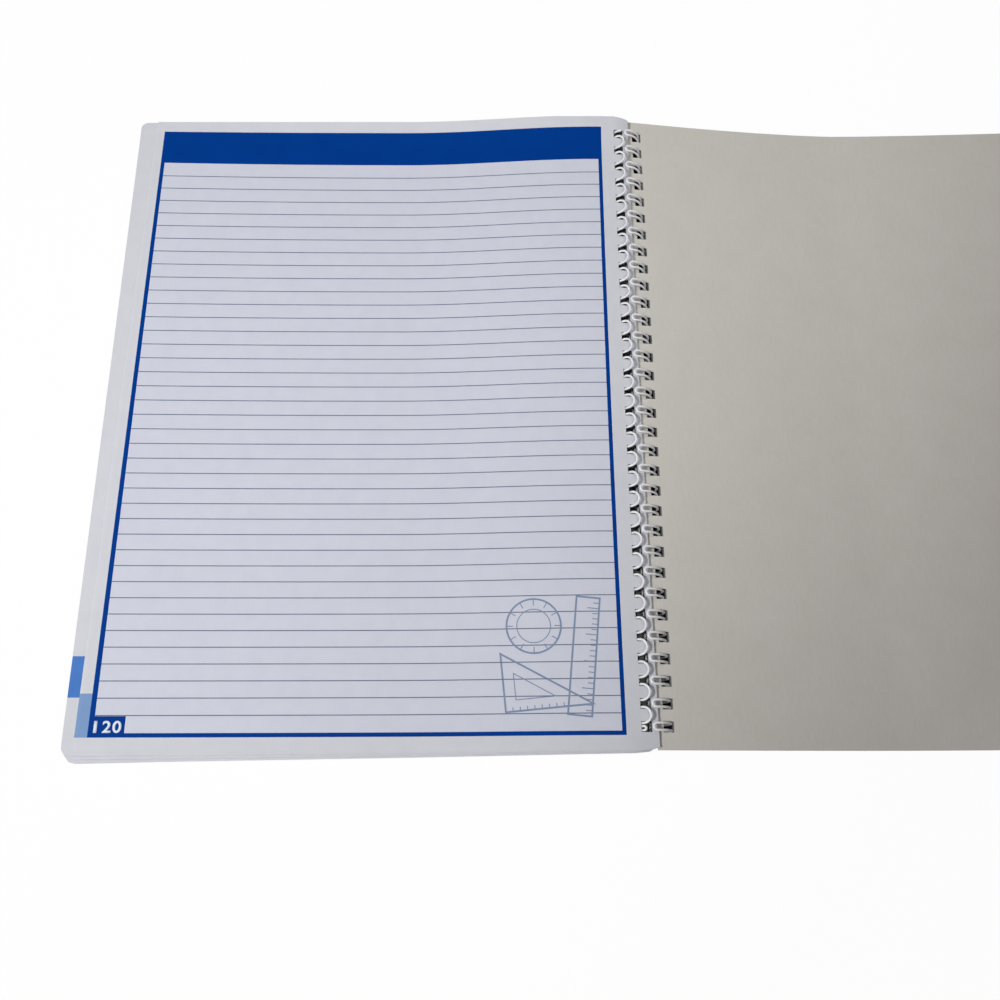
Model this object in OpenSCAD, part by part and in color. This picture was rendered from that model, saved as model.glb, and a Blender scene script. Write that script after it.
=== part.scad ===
// Wire-bound notebook, lying open at its last page.
// X runs from the fore-edge of the leaves towards the open back cover, Y along the
// spine away from the reader, Z up. The origin is at the middle of the book's own
// box, on the surface that it lies on.

/* [Leaves] */
// Width of a full leaf, from spine edge to fore-edge
leaf_w = 220.3; // [180:0.1:240]
// Height of every leaf and cover, along the spine
leaf_h = 279.4; // [200:0.1:310]
// How much narrower the leaves of the last section are cut, so that the tab below shows
index_step = 4.4; // [2:0.1:12]
// Thickness of all the leaves of the last section together
last_section_t = 0.5; // [0.2:0.1:1.5]
// Thickness of all the other leaves together
main_leaves_t = 6.5; // [4:0.1:7]
// Radius of the rounded fore-edge corners
corner_r = 3; // [1:0.1:8]

/* [Punching] */
// Distance between neighbouring holes
hole_pitch = 8.4667; // [6:0.0001:12]
// Length of a punched hole along the spine
hole_y = 4; // [3.6:0.1:4.6]
// Width of a punched hole across the spine
hole_x = 4; // [3.6:0.1:4.6]
// Paper left between a hole and the spine edge
spine_margin = 2.6; // [2:0.1:4]
// Least distance from the middle of the end holes to the end of the leaf
end_margin = 8; // [6:0.1:12]

/* [Covers] */
// Thickness of the card of both covers
cover_t = 0.45; // [0.3:0.05:0.7]
// Air between the front cover and the first leaf
leaf_gap = 0.3; // [0.2:0.05:0.6]
// How far the back cover's upper face at its spine edge lies above the rings' middle
back_spine_rise = 3.15; // [2.4:0.05:3.4]
// Distance from the ring's middle to where the back cover comes down on the table
back_touch = 98; // [70:1:130]
// How far the back cover's fore-edge curls up again
back_curl = 5.3; // [0:0.1:12]
// Distance from the ring's middle to the back cover's spine edge
back_spine_x = 0.8; // [0.5:0.1:1]

/* [Binding wire] */
// Thickness of the coated wire
wire_d = 0.96; // [0.8:0.02:1.1]
// Outer diameter of the closed loops
ring_od = 14.3; // [13.8:0.1:15.2]
// Distance between the two wires of a loop
pair_gap = 2.6; // [2.2:0.05:2.7]
// Place on the ring where the root bends begin, in degrees from +X
root_angle = 126.6; // [124:0.1:129]
// Place on the ring where the loops' round tips begin, in degrees from +X
tip_angle = 84; // [80:0.5:86]
// How far the wire has crept round the ring at its far end, in degrees
wire_twist = 4; // [0:1:6]
// How far the wire lies off the middle of the leaves' holes, towards the fore-edge
leaf_pull = 1.2; // [0.4:0.1:1.2]
// The same for the front cover
cover_pull = 0.8; // [0.2:0.1:1.2]

/* [How the book lies] */
// How far the middle of the leaves rides above the middle of the rings
block_ride = 2; // [1.4:0.1:2.2]
// Distance from the ring's middle to where the leaves start to rise towards the spine
ramp_far = 100; // [60:1:130]
// Distance from the ring's middle to the crest of the rise
ramp_near = 13; // [10:0.5:20]
// How far the leaves dip again from the crest to their spine edge
spine_dip = 1.2; // [0.6:0.1:1.6]
// How much fuller the stack is at its fore-edge than in its middle
fore_rise = 1.8; // [0:0.1:3]
// How far the lowest leaves are turned towards the reader at the fore-edge
fan_y = 3.6; // [0:0.1:5]
// Number of bunches in which the leaves are fanned
fan_steps = 3; // [2:1:4]

/* [Hidden] */

ring_r = (ring_od - wire_d) / 2;      // radius of the wire's centre line
ring_z = ring_od / 2;                 // the rings stand on the table
root_r = (hole_pitch - pair_gap) / 2; // radius of a root bend
tip_r = pair_gap / 2;                 // radius of a loop's round tip
hook_r = 0.28 * pair_gap;             // radius of the hook at the wire's last end
end_reach = 16;                       // degrees by which the wire's ends run on round the ring
block_t = main_leaves_t + last_section_t;
back_spine_z = ring_z + back_spine_rise;
spine_lift = ring_z + block_ride - block_t / 2 - cover_t - leaf_gap;
hole_count = floor((leaf_h - 2 * end_margin) / hole_pitch) + 1;
hole_to_edge = spine_margin + hole_x / 2;
curve_steps = 24;   // facets along a curved leaf or cover
arc_steps = 10;     // facets along the leaves' curved edges and holes
corner_steps = 6;   // facets round a corner
arc_facets = 12;    // facets along each wire of a loop
tip_facets = 4;     // facets round a loop's tip
root_facets = 5;    // facets round a root bend
wire_sides = 6;     // sides of the wire
fan_overlap = 0.1;  // share by which one bunch reaches into the next
tall = 3 * ring_od; // more than the height of the book

// Height of the front cover's underside at x, with x counted from the rings' middle.
function ramp(x) = (1 - cos(180 * (x + ramp_far) / (ramp_far - ramp_near))) / 2;
function dip(x) = spine_dip * pow((x + ramp_near) / (ramp_near + 1), 2);
function lie(x) = x < -ramp_far ? 0
    : x < -ramp_near ? spine_lift * ramp(x)
    : spine_lift - dip(x);

// Thickness of the stack at x: fuller over its outer half.
function stack_t(x) = block_t + fore_rise * pow(max(0, -x / leaf_w - 0.5) * 2, 2);

// Height of the leaf at share u of the stack, from 0 at the first leaf to 1 at the last.
function leaf_z(x, u) = lie(x) + cover_t + leaf_gap + u * stack_t(x);

// Where a sheet that lies at height z crosses the rings on their left side.
function ring_left(z) = -sqrt(ring_r * ring_r - pow(z - ring_z, 2));
function hole_mid(u, n = 4) = leaf_pull
    + ring_left(leaf_z(n == 0 ? -ring_r : hole_mid(u, n - 1) - leaf_pull, u));
function spine_edge(u) = hole_mid(u) + hole_to_edge;
function front_hole() = cover_pull + ring_left(lie(-ring_r) + cover_t / 2);

// The back cover falls from the spine to the table and curls up again.
back_fore_x = back_spine_x + leaf_w;
function back_z(x) = cover_t + (x < back_touch
    ? (back_spine_z - cover_t) * pow(1 - (x - back_spine_x) / (back_touch - back_spine_x), 1.4)
    : back_curl * pow((x - back_touch) / (back_fore_x - back_touch), 1.5));
back_hole = back_spine_x + hole_to_edge;

// The book's box, and from it the place of the rings in the frame.
last_edge = spine_edge(1);
front_edge = front_hole() + hole_to_edge;
low_x = min(front_edge, min([for (i = [0:arc_steps]) spine_edge(i / arc_steps)])) - leaf_w;
ring_x = -(low_x + back_fore_x) / 2;
ring_y = fan_y / 2;

function hole_at(i) = (i - (hole_count - 1) / 2) * hole_pitch;

// Points from a to b, closer together towards b.
function spread(a, b, n) = [for (i = [0:n]) a + (b - a) * (1 - pow(1 - i / n, 1.5))];

// A solid that runs along the spine with the outline pts in X and Z.
module along_spine(pts, length = 2 * leaf_h) {
    translate([0, length / 2, 0])
        rotate([90, 0, 0])
            linear_extrude(height = length)
                polygon(pts);
}

// The sheet's outline from above: straight at the spine, rounded at the fore-edge, and
// turned so that the fore-edge lies skew nearer to the reader. fore and spine are x.
module sheet_outline(fore, spine, skew) {
    side = fore < spine ? 1 : -1;
    turns = [for (i = [0:corner_steps]) 90 * i / corner_steps];
    half = leaf_h / 2 - corner_r;
    corner = concat(
        [for (a = turns) [fore + side * corner_r * (1 - sin(a)), half + corner_r * cos(a)]],
        [for (a = turns) [fore + side * corner_r * (1 - cos(a)), -half - corner_r * sin(a)]]);
    flat_pts = concat([[spine, -leaf_h / 2], [spine, leaf_h / 2]], corner);
    linear_extrude(height = tall, center = true)
        polygon([for (p = flat_pts) [p[0], p[1] - skew * (spine - p[0]) / (spine - fore)]]);
}

// One bunch of leaves, from share u0 to u1 of the stack, cut narrow less wide.
module leaf_bunch(u0, u1, narrow, skew) {
    share = [for (i = [0:arc_steps]) u0 + (u1 - u0) * i / arc_steps];
    fore = [for (u = share) spine_edge(u) - leaf_w + narrow];
    lower = spread(fore[0], spine_edge(u0), curve_steps);
    upper = spread(fore[arc_steps], spine_edge(u1), curve_steps);
    outline = concat(
        [for (x = lower) [x, leaf_z(x, u0)]],
        [for (i = [1:arc_steps - 1]) [spine_edge(share[i]), leaf_z(spine_edge(share[i]), share[i])]],
        [for (i = [curve_steps:-1:0]) [upper[i], leaf_z(upper[i], u1)]],
        [for (i = [arc_steps - 1:-1:1]) [fore[i], leaf_z(fore[i], share[i])]]);
    intersection() {
        along_spine(outline);
        sheet_outline(min(fore), last_edge, skew);
    }
}

// The holes of all leaves, which follow the round of the wire.
module leaf_holes() {
    reach = 0.15;
    share = [for (i = [0:arc_steps]) -reach + (1 + 2 * reach) * i / arc_steps];
    mid = [for (u = share) [hole_mid(min(1, max(0, u))), leaf_z(-ring_r, u)]];
    outline = concat(
        [for (p = mid) [p[0] + hole_x / 2, p[1]]],
        [for (i = [arc_steps:-1:0]) [mid[i][0] - hole_x / 2, mid[i][1]]]);
    for (i = [0:hole_count - 1])
        translate([0, hole_at(i), 0])
            along_spine(outline, hole_y);
}

// All the leaves, fanned in bunches, with the narrower last section on top.
module page_block() {
    top_share = main_leaves_t / block_t;
    color("white")
        translate([ring_x, ring_y, 0])
            difference() {
                union() {
                    for (i = [0:fan_steps - 1])
                        leaf_bunch(
                            max(0, i - fan_overlap) / fan_steps * top_share,
                            (i + 1) / fan_steps * top_share,
                            0,
                            fan_y * (fan_steps - i) / fan_steps);
                    leaf_bunch(top_share - fan_overlap / fan_steps, 1, index_step, 0);
                }
                leaf_holes();
            }
}

// A cover's square holes, cut straight through the card.
module cover_holes(x) {
    for (i = [0:hole_count - 1])
        translate([x, hole_at(i), 0])
            cube([hole_x, hole_y, tall], center = true);
}

// The front cover, turned right under the leaves.
module front_cover() {
    xs = spread(front_edge - leaf_w, front_edge, curve_steps);
    outline = concat(
        [for (x = xs) [x, lie(x)]],
        [for (i = [curve_steps:-1:0]) [xs[i], lie(xs[i]) + cover_t]]);
    color("tan")
        translate([ring_x, ring_y, 0])
            difference() {
                intersection() {
                    along_spine(outline);
                    sheet_outline(front_edge - leaf_w, front_edge, fan_y);
                }
                cover_holes(front_hole());
            }
}

// The back cover, laid open on the right.
module back_cover() {
    falls = spread(back_touch, back_spine_x, curve_steps);
    rises = [for (i = [1:curve_steps / 3]) back_touch + (back_fore_x - back_touch) * 3 * i / curve_steps];
    xs = concat([for (i = [curve_steps:-1:0]) falls[i]], rises);
    last = len(xs) - 1;
    outline = concat(
        [for (x = xs) [x, back_z(x)]],
        [for (i = [last:-1:0]) [xs[i], back_z(xs[i]) - cover_t]]);
    color([0.7, 0.68, 0.63])
        translate([ring_x, ring_y, 0])
            difference() {
                intersection() {
                    along_spine(outline);
                    sheet_outline(back_fore_x, back_spine_x, 0);
                }
                cover_holes(back_hole);
            }
}

// A point on the wire's centre line, at angle a on the ring and at y along the spine. The
// wire has crept round the ring by wire_twist at its far end and not at all at its near end.
function on_ring(a, y) =
    let (b = a - wire_twist * pow(y / leaf_h + 0.5, 2))
        [ring_r * cos(b), y, ring_r * sin(b)];

// A flat half turn of radius r laid round the ring: it starts at angle a and at y0, bulges
// by r in the direction way round the ring and ends at y1.
function half_turn(a, y0, y1, way, n) = [for (i = [0:n])
    let (r = abs(y1 - y0) / 2, t = 180 * i / n)
        on_ring(a + way * r * sin(t) / ring_r * 180 / PI, (y0 + y1) / 2 + (y0 - y1) / 2 * cos(t))];

// The wire's points along the ring from angle a to angle b, both ends left out.
function run_round(a, b, y, n) = [for (i = [1:n - 1]) on_ring(a + (b - a) * i / n, y)];

// One twin loop: in at the far side of the hole, round to the tip and back at the near side.
function twin_loop(y) = concat(
    run_round(root_angle, 360 + tip_angle, y + tip_r, arc_facets),
    half_turn(360 + tip_angle, y + tip_r, y - tip_r, 1, tip_facets),
    run_round(360 + tip_angle, root_angle, y - tip_r, arc_facets));

// The root bend from the hole at y across the paper to the next hole.
function root_bend(y) = half_turn(root_angle, y - tip_r, y - hole_pitch + tip_r, -1, root_facets);

// The whole wire. Its first end is cut off just past the first hole, and its last end is
// hooked back into the last hole.
function wire_path() =
    let (first = hole_at(hole_count - 1), last = hole_at(0))
        concat(
            [for (i = [0:2]) on_ring(root_angle - end_reach * (2 - i) / 2, first + tip_r)],
            [for (i = [hole_count - 1:-1:1]) each concat(twin_loop(hole_at(i)), root_bend(hole_at(i)))],
            twin_loop(last),
            half_turn(root_angle, last - tip_r, last - tip_r + 2 * hook_r, -1, tip_facets),
            [on_ring(root_angle + end_reach, last - tip_r + 2 * hook_r)]);

// A tube along points that lie on the ring, so that straight outwards is square to it.
module wire_tube(path) {
    n = len(path);
    sides = wire_sides;
    rings = [for (i = [0:n - 1])
        let (
            along = path[min(i + 1, n - 1)] - path[max(i - 1, 0)],
            t = along / norm(along),
            out = [path[i][0], 0, path[i][2]] / norm([path[i][0], path[i][2]]),
            across = cross(t, out))
            for (k = [0:sides - 1])
                path[i] + wire_d / 2 * (cos(360 * k / sides) * out + sin(360 * k / sides) * across)];
    walls = [for (i = [0:n - 2], k = [0:sides - 1])
        let (a = i * sides + k, b = i * sides + (k + 1) % sides)
            [a, a + sides, b + sides, b]];
    polyhedron(
        points = rings,
        faces = concat(
            walls,
            [[for (k = [0:sides - 1]) k]],
            [[for (k = [sides - 1:-1:0]) (n - 1) * sides + k]]),
        convexity = 10);
}

// The twin-loop wire: every hole has a pair of wires that ends in a round tip, and a root
// bend joins each pair to the next across the paper between two holes.
module binding_wire() {
    color("whitesmoke")
        translate([ring_x, ring_y, ring_z])
            wire_tube(wire_path());
}

front_cover();
page_block();
back_cover();
binding_wire();
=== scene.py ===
# Wire-bound notebook lying open at its last ruled page. The leaves and the front cover are turned to the left, the
# plain back cover lies open on the right, and one coated twin-loop wire holds them. Sizes are in millimetres unless
# a name says otherwise; everything is made in metres, in the frame of the part's source.
import math
import random
import bmesh
import bpy
from mathutils import Matrix, Vector


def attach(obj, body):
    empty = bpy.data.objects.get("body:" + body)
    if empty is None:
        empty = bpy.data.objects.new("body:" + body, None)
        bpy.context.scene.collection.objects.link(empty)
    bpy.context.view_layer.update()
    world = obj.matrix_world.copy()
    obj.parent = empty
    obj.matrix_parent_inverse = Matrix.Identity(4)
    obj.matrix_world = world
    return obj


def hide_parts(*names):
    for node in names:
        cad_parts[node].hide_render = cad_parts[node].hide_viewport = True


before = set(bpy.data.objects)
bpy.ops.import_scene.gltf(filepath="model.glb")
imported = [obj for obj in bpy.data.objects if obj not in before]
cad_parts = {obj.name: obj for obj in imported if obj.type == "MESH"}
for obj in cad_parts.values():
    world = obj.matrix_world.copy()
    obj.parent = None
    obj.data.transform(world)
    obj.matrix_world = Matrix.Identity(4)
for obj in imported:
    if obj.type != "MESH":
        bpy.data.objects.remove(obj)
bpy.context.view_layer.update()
mm = 0.001
print("stage: frame loaded")

# how the book lies, by the same rules as in the part's source
form = {
    "leafWidth": 220.3, "leafHeight": 279.4, "indexStep": 4.4, "cornerRadius": 3.0,
    "stack": 7.0, "lastSection": 0.5,
    "holePitch": 8.4667, "holes": 32, "holeSize": 4.0, "spineMargin": 2.6,
    "card": 0.45, "leafGap": 0.3,
    "ringX": 0.036, "ringY": 1.8, "ringZ": 7.15, "ringRadius": 6.67, "leafPull": 1.2, "coverPull": 0.8,
    "rampFar": 100.0, "rampNear": 13.0, "lift": 4.9, "dip": 1.2, "dipEnd": 1.0, "foreRise": 1.8, "fan": 3.6,
    "bunches": 3, "backSpineX": 0.8, "backSpineZ": 10.3, "backTouch": 98.0, "backFall": 1.4, "backCurl": 5.3,
    "backCurlPower": 1.5, "easedLength": 7.5, "easedNear": 1.0, "easedFar": 0.7, "flare": 2.0, "flareFrom": 208.0,
    "flareShare": 0.9, "widest": 1.8,
    "bow": 0.7, "bowReach": 150.0, "curl": 2.1, "curlDepth": 24.0, "curlFrom": 215.0, "curlWidth": 115.0,
    "curlEnd": 4.0, "curlFade": 10.0, "curlShare": 0.8, "lastCorner": 1.0,
    "ceiling": 14.2, "longer": 0.2, "nearDepth": 3.7, "offSquare": 1.45, "droop": 0.25, "droopWidth": 0.9,
}
# lines across a sheet, so that it can bend
bendRows = [-105, -70, -35, 0, 35, 70, 105, 115.7, 121.7, 127.2, 131.7, 136.2]
holeToEdge = form["spineMargin"] + form["holeSize"] / 2
holeRim = -form["spineMargin"]  # the side of a flat leaf's holes that is nearer to the spine
samePlace = 0.001  # two lengths that differ by less are the same
backForeX = form["backSpineX"] + form["leafWidth"]


def lieAt(x):  # height of the front cover's underside, x counted from the rings' middle
    t = min(1, max(0, (x + form["rampFar"]) / (form["rampFar"] - form["rampNear"])))
    past = max(0, x + form["rampNear"]) / (form["rampNear"] + form["dipEnd"])
    return form["lift"] * (1 - math.cos(math.pi * t)) / 2 - form["dip"] * past ** 2


def stackAt(x):  # the stack is fuller over its outer half
    return form["stack"] + form["foreRise"] * (max(0, -x / form["leafWidth"] - 0.5) * 2) ** 2


def leafZ(x, share):  # height of the leaf at share 0 (first) to 1 (last) of the stack
    return lieAt(x) + form["card"] + form["leafGap"] + share * stackAt(x)


def ringLeft(z):
    return -math.sqrt(form["ringRadius"] ** 2 - (z - form["ringZ"]) ** 2)


def spineEdge(share):  # the leaves' holes follow the round of the wire
    x = -form["ringRadius"]
    for _ in range(5):
        x = ringLeft(leafZ(x, share))
    return x + form["leafPull"] + holeToEdge


def backZ(x):  # upper face of the back cover, which falls to the table and curls up again
    if x < form["backTouch"]:
        t = (x - form["backSpineX"]) / (form["backTouch"] - form["backSpineX"])
        return form["card"] + (form["backSpineZ"] - form["card"]) * max(0, 1 - t) ** form["backFall"]
    t = (x - form["backTouch"]) / (backForeX - form["backTouch"])
    return form["card"] + form["backCurl"] * t ** form["backCurlPower"]


def skewAt(share):  # the lower bunches are turned a little towards the reader
    top = 1 - form["lastSection"] / form["stack"]
    if share > top:
        return 0.0
    step = min(form["bunches"] - 1, int(share / top * form["bunches"]))
    return form["fan"] * (form["bunches"] - step) / form["bunches"]


def flareAt(share):  # how much wider a leaf is cut at its near end; the lowest ones aren't
    return min(form["flare"], form["flareShare"] * (spineEdge(share) - spineEdge(0)))


def clamp(value):
    return min(1, max(0, value))


# moves the points near the fore-edge out, by flare at the near end and by its farShare at the far end
def cutWider(x, y, width, flare, farShare):
    outer = max(0, -x - form["flareFrom"]) / (width - form["flareFrom"])
    return x - flare * outer * (farShare + (1 - farShare) * (0.5 - y / form["leafHeight"]))


def curlAt(x, y, share):  # the far edge of the upper leaves curls up, most over the middle of the page
    late = clamp((y - form["leafHeight"] / 2) / form["curlDepth"] + 1)
    inward = math.sin(math.pi / 2 * clamp((x + form["curlFrom"]) / form["curlWidth"]))
    inward *= math.sin(math.pi / 2 * clamp((form["curlEnd"] - x) / form["curlFade"]))
    upper = clamp((share - form["curlShare"]) / (1 - form["curlShare"]))
    return form["curl"] * inward * late ** 3 * upper ** 2


def widenAt(share):  # the lower holes run on towards the spine, so that one looks straight down through them
    return min(form["widest"], spineEdge(1) - spineEdge(share))


def holeY(i):
    return (i - (form["holes"] - 1) / 2) * form["holePitch"]


def bowAt(x, y):  # the spine's middle gives way a little to the left
    return form["bow"] * (1 - (2 * y / form["leafHeight"]) ** 2) * max(0, 1 - abs(x) / form["bowReach"])


def toFrame(x, y, z, bow=1.0):  # from the rings' middle to metres in the frame
    return Vector(((x + form["ringX"] - bow * bowAt(x, y)) * mm, (y + form["ringY"]) * mm, z * mm))


# Adds a node with its settings, and its inputs by name or number. A socket is linked, and so is a node's first output;
# anything else is the input's value.
def addNode(tree, kind, settings=None, inputs=None):
    node = tree.nodes.new(kind)
    for key, value in (settings or {}).items():
        setattr(node, key, value)
    for key, value in (inputs or {}).items():
        value = value.outputs[0] if isinstance(value, bpy.types.Node) else value
        if isinstance(value, bpy.types.NodeSocket):
            tree.links.new(value, node.inputs[key])
        else:
            node.inputs[key].default_value = value
    return node


def mathNode(tree, operation, *values):
    return addNode(tree, "ShaderNodeMath", {"operation": operation}, dict(enumerate(values)))


def shareNode(tree, value, low, high, most=1.0):  # 0 where the value is at or below low, most at or above high
    return addNode(tree, "ShaderNodeMapRange", inputs={
        "Value": value, "From Min": low, "From Max": high, "To Max": most})


def addObject(name, data):
    thing = bpy.data.objects.new(name, data)
    bpy.context.scene.collection.objects.link(thing)
    return thing


def fromHex(code):  # sRGB hex to linear
    parts = [int(code[i:i + 2], 16) / 255 for i in (1, 3, 5)]
    return [p / 12.92 if p <= 0.04045 else ((p + 0.055) / 1.055) ** 2.4 for p in parts] + [1.0]


def placePiece(piece, body, node):
    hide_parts(node)
    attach(piece, body)
    return piece


def smoothFaces(mesh, angle=35):
    mesh.shade_smooth()
    mesh.set_sharp_from_angle(angle=math.radians(angle))


surface = {"lowest": 0.3, "highest": 0.7, "roughSpread": 0.06, "bumpDepth": 0.05}


# A sheet's surface: a base colour that drifts over a few centimetres, a fine grain of its own size, and a bump.
def sheetMaterial(name, low, high, drift, grain, grainShare, roughness, bump, stretch=(1, 1, 1), shine=0.5):
    material = bpy.data.materials.new(name)
    material.use_nodes = True
    tree = material.node_tree
    tree.nodes.clear()
    place = addNode(tree, "ShaderNodeTexCoord").outputs["Object"]
    along = addNode(tree, "ShaderNodeMapping", inputs={"Vector": place, "Scale": stretch})
    clouds = addNode(tree, "ShaderNodeTexNoise", inputs={
        "Vector": place, "Scale": 1 / (drift * mm), "Detail": 3.0, "Roughness": 0.5})
    fibres = addNode(tree, "ShaderNodeTexNoise", inputs={
        "Vector": along, "Scale": 1 / (grain * mm), "Detail": 4.0, "Roughness": 0.6})
    mixed = addNode(tree, "ShaderNodeMix", {"data_type": "FLOAT"},
                    {0: grainShare, 2: clouds, 3: fibres})
    spread = shareNode(tree, mixed, surface["lowest"], surface["highest"])
    colour = addNode(tree, "ShaderNodeMix", {"data_type": "RGBA"},
                     {0: spread, 6: fromHex(low), 7: fromHex(high)}).outputs[2]
    rough = addNode(tree, "ShaderNodeMapRange", inputs={
        "Value": fibres, "To Min": roughness - surface["roughSpread"], "To Max": roughness + surface["roughSpread"]})
    relief = addNode(tree, "ShaderNodeBump", inputs={
        "Height": fibres, "Strength": bump, "Distance": surface["bumpDepth"] * mm})
    shader = addNode(tree, "ShaderNodeBsdfPrincipled", inputs={
        "Base Color": colour, "Roughness": rough, "Normal": relief, "IOR": 1.5, "Specular IOR Level": shine})
    addNode(tree, "ShaderNodeOutputMaterial", inputs={"Surface": shader})
    return material


look = {
    "paperMargin": ("#cbccd3", "#d1d2d8"), "paperField": ("#c9cbd8", "#cfd1dd"), "cutEdge": ("#d8d7d5", "#f0efee"),
    "bandBlue": ("#003785", "#003a8d"), "tabBlue": ("#4676bd", "#4d7ec5"), "tabPale": ("#7795bf", "#7e9cc5"),
    "ruleGrey": ("#5f687d", "#6a7388"), "motifBlue": ("#7b8aa6", "#8694af"), "numberWhite": ("#dfe4ee", "#e8edf6"),
    # the punched edges' near-black is painted shade for the deep shadow in the holes
    "card": ("#c9c5be", "#d0ccc6"), "cardEdge": ("#a29d93", "#b5b0a6"), "punchedEdgePaintedShade": ("#0b0b0b", "#191818"),
    "coat": ("#e2e2e5", "#ebebed"),
}
# Uncoated wood-free paper, calendered: matt, even, with a cloudy formation of about 6 mm and fibres that are drawn
# 0.7 mm long, coarser than real, so that they show. Inside the frame a pale blue tint is printed on it.
paper = sheetMaterial("paperUncoatedWhite", *look["paperMargin"], 6, 0.7, 0.4, 0.62, 0.25, shine=0.12)
paperTint = sheetMaterial("paperTintedPrint", *look["paperField"], 6, 0.7, 0.4, 0.6, 0.25, shine=0.12)
# Guillotined edges of the leaves: a matt grey that changes from sheet to sheet.
paperCut = sheetMaterial("paperCutEdge", *look["cutEdge"], 3, 0.25, 0.6, 0.75, 0.3, shine=0.1)
# Punched edges of paper and card: painted near-black, a painted shade that stands for the deep shadow inside the holes
# through the stack; rough.
holeWallPaintedShade = sheetMaterial("punchedEdgePaintedShade", *look["punchedEdgePaintedShade"], 2, 0.25, 0.6, 0.8, 0.3, shine=0.05)
# Offset ink that has soaked into that paper: thin and matt, so the fibres stay visible through the colour.
inkBand = sheetMaterial("offsetInkDeepBlue", *look["bandBlue"], 9, 0.7, 0.4, 0.58, 0.2, shine=0.03)
inkTab = sheetMaterial("offsetInkMidBlue", *look["tabBlue"], 9, 0.7, 0.4, 0.58, 0.2, shine=0.05)
inkPale = sheetMaterial("offsetInkPaleBlue", *look["tabPale"], 9, 0.7, 0.4, 0.58, 0.2, shine=0.05)
inkRule = sheetMaterial("offsetInkRuleGrey", *look["ruleGrey"], 5, 0.5, 0.5, 0.6, 0.15, shine=0.05)
inkMotif = sheetMaterial("offsetInkDustyBlue", *look["motifBlue"], 5, 0.5, 0.5, 0.6, 0.15, shine=0.05)
inkWhite = sheetMaterial("paperKnockedOutOfInk", *look["numberWhite"], 6, 0.7, 0.4, 0.6, 0.2, shine=0.1)
# Uncoated grey card, calendered: slightly warm, fibres lie along the spine, so the grain is stretched that way.
card = sheetMaterial("cardUncoatedGrey", *look["card"], 14, 1.1, 0.6, 0.6, 0.35, (1, 0.35, 1), 0.15)
cardCut = sheetMaterial("cardCutEdge", *look["cardEdge"], 5, 0.4, 0.6, 0.75, 0.3, shine=0.1)
# Nylon-coated steel wire: a thick white plastic skin with a soft gloss and a slight orange peel.
wireCoat = sheetMaterial("nylonCoatWhite", *look["coat"], 4, 0.6, 0.3, 0.3, 0.08, shine=0.5)
print("stage: materials made")


# A closed sheet with a row of square holes along one edge. It is laid out flat first: x runs from -width at the
# fore-edge to 0 at the spine edge. place(x, y, drop) gives the point, where drop is 0 on top and the thickness below.
# Slot 0 is the face, 1 the cut edges and 2 the edges of the holes.
def punchedSheet(name, width, thickness, columns, rows, place, radius, fieldAt=None, eased=(0, 0)):
    half, hole, holeMiddle = form["leafHeight"] / 2, form["holeSize"] / 2, -holeToEdge
    punched = [holeY(i) + side * hole for i in range(form["holes"]) for side in (-1, 1)]
    rows = sorted({*bendRows, *rows})

    def between(x, ys):  # the sheet's near end at x, the points on the way, and its far end
        inset, late = x + width, max(0, 1 + x / form["easedLength"])
        if inset >= radius:
            return [-half + eased[0] * late ** 2, *ys, half - eased[1] * late ** 2]
        reach = half - radius + math.sqrt(max(0, radius ** 2 - (radius - inset) ** 2))
        return [-reach, *ys, reach]

    lines = [(x, between(x, rows)) for x in sorted(columns)]
    lines += [(x, between(x, punched)) for x in (holeMiddle - hole, holeMiddle + hole)]
    lines += [(x, between(x, rows)) for x in (holeMiddle / 8, 0)]  # one close to the spine edge, and the edge
    bm = bmesh.new()
    points = {}
    for drop in (0, thickness):
        for c, (x, ys) in enumerate(lines):
            for r, y in enumerate(ys):
                points[c, r, drop] = bm.verts.new(place(x, y, drop))
    last = len(lines) - 1
    before, after = last - 3, last - 2  # the lines on both sides of the holes
    for drop in (0, thickness):
        for c in range(last):
            left, right = lines[c][1], lines[c + 1][1]
            if c == before:
                strips = [(r, r + 1, r, r + 1) for r in range(0, len(left) - 1, 2)]
            elif len(left) == len(right):
                strips = [(r, r + 1, r, r + 1) for r in range(len(left) - 1)]
            else:  # two lines with different points: step up whichever is behind
                strips, a, b = [], 0, 0
                while a < len(left) - 1 or b < len(right) - 1:
                    up = b == len(right) - 1 or (a < len(left) - 1 and left[a + 1] <= right[b + 1])
                    strips.append((a, a + up, b, b + (not up)))
                    a, b = a + up, b + (not up)
            for a0, a1, b0, b1 in strips:
                loop = [points[c, a0, drop], points[c + 1, b0, drop]]
                loop += [points[c + 1, b1, drop]] if b1 != b0 else []
                loop += [points[c, a1, drop]] if a1 != a0 else []
                face = bm.faces.new(loop if drop == 0 else loop[::-1])
                if drop == 0 and fieldAt and c < len(columns) - 1:
                    face.material_index = fieldAt((lines[c][0] + lines[c + 1][0]) / 2, (left[a0] + left[a1]) / 2)

    def wall(one, other, slot):
        a, b = one
        d, e = other
        face = bm.faces.new([points[a, b, 0], points[d, e, 0], points[d, e, thickness], points[a, b, thickness]])
        face.material_index = slot

    for c in range(last):
        wall((c, 0), (c + 1, 0), 1)
        wall((c, len(lines[c][1]) - 1), (c + 1, len(lines[c + 1][1]) - 1), 1)
    for r in range(len(rows) + 1):
        wall((0, r), (0, r + 1), 1)
        wall((last, r), (last, r + 1), 1)
    for i in range(form["holes"]):
        low, high = 2 * i + 1, 2 * i + 2
        wall((before, low), (before, high), 2)
        wall((after, low), (after, high), 2)
        wall((before, low), (after, low), 2)
        wall((before, high), (after, high), 2)
    bmesh.ops.recalc_face_normals(bm, faces=bm.faces)
    mesh = bpy.data.meshes.new(name)
    bm.to_mesh(mesh)
    bm.free()
    smoothFaces(mesh)
    return addObject(name, mesh)


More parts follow.
